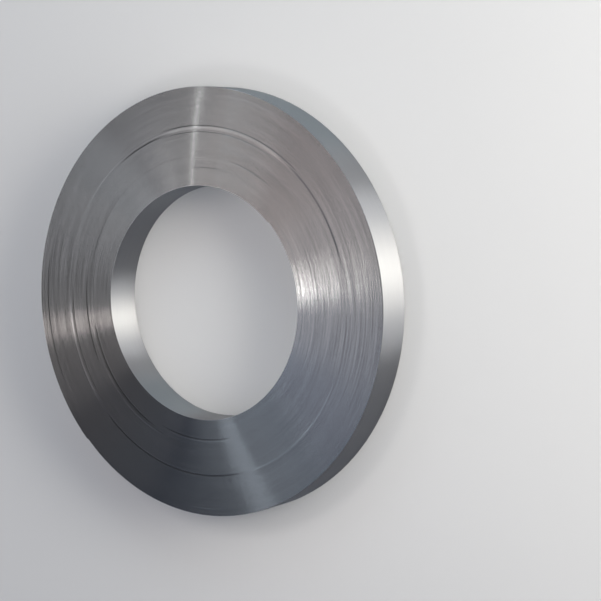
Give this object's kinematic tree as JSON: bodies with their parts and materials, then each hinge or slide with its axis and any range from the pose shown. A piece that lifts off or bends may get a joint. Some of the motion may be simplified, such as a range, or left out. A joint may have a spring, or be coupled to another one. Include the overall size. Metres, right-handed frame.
{
  "type": "steel coil",
  "caption": "Narrow slit coil of bright steel strip, wound tight round an open eye, lying on one end with the eye upright.",
  "frame": {"origin": "centre of the eye, at the level of the lower end that the coil lies on", "axes": "+Z along the eye, from the lower end to the upper end; X and Y are any two directions across the ring"},
  "size_m": [0.934, 0.934, 0.0842],
  "materials": {
    "bright_steel": "bright cold rolled strip: smooth on the rim and in the eye, with fine rings of slit edges on both ends"
  },
  "bodies": {
    "root": {"steel_coil": "bright_steel"}
  },
  "joints": []
}
